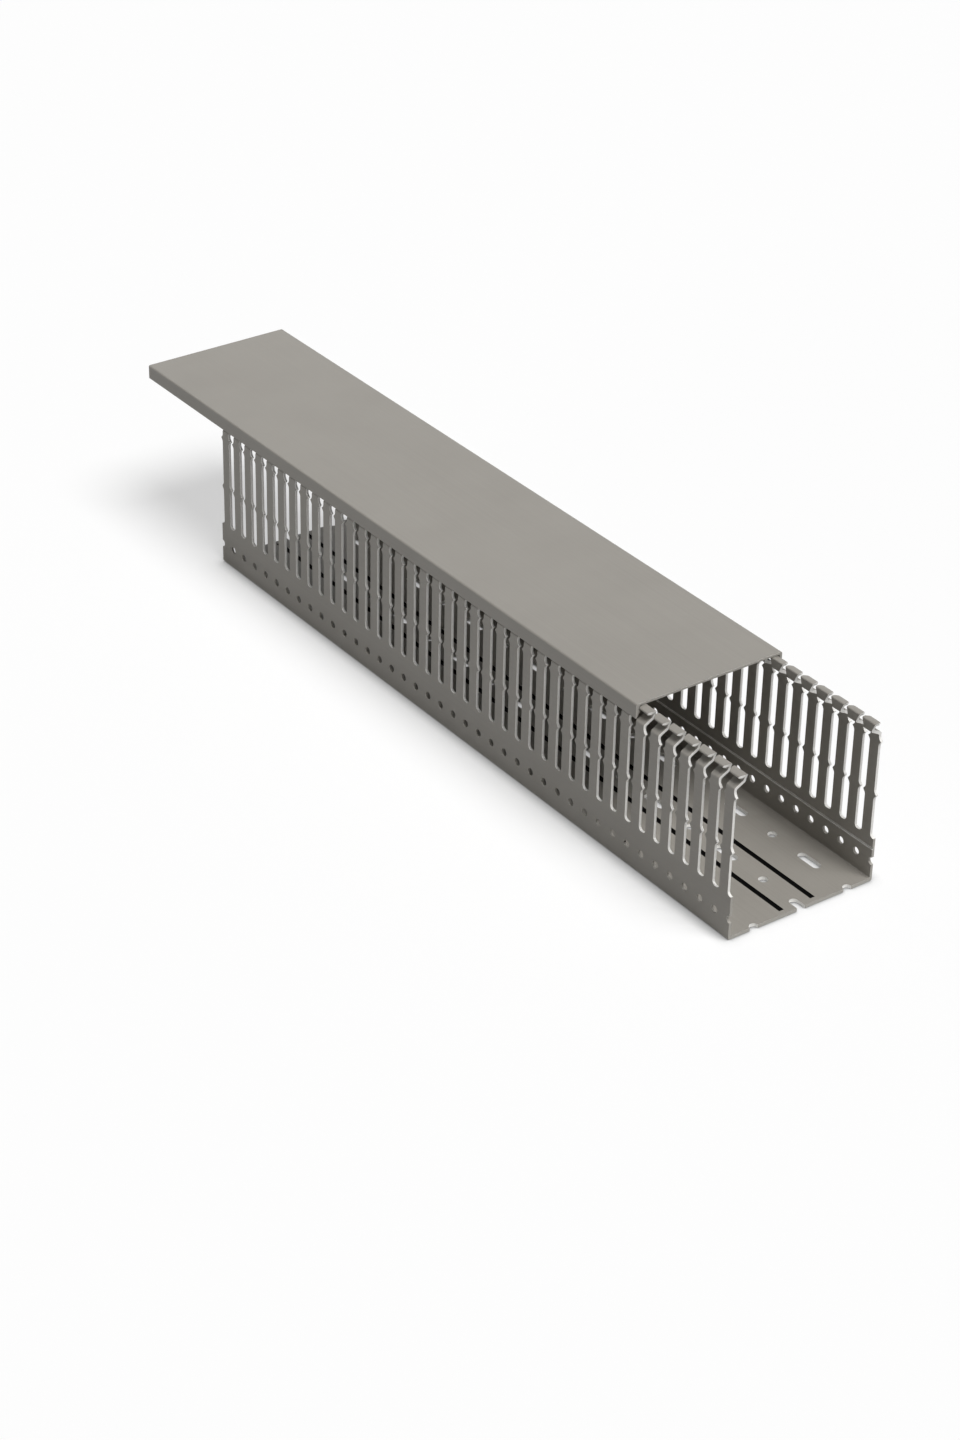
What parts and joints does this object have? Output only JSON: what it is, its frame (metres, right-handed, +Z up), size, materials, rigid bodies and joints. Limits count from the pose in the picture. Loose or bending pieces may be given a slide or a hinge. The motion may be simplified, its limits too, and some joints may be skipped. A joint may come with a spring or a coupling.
{
  "type": "slotted wire duct",
  "caption": "Length of slotted wire duct: U channel with finger walls and a punched floor, and a flat clip-over cover set back from the open end.",
  "frame": {"origin": "centre of the four outer slotted floor holes, on the underside of the channel at mid-length and mid-width", "axes": "+X along the duct towards the end that the cover leaves open, +Z up from the floor to the cover, +Y to the right-hand wall seen from behind"},
  "size_m": [0.5847, 0.1, 0.1017],
  "materials": {
    "base_pvc": "rigid grey PVC with a fine extruded satin skin",
    "cover_pvc": "rigid grey PVC with a fine extruded satin skin"
  },
  "bodies": {
    "base": {"duct_base": "base_pvc"},
    "cover": {"duct_cover": "cover_pvc"}
  },
  "joints": [
    {"name": "cover_slide", "type": "slide", "parent": "base", "child": "cover", "axis": [1, 0, 0], "range_m": [-0.3, 0.0847]}
  ]
}
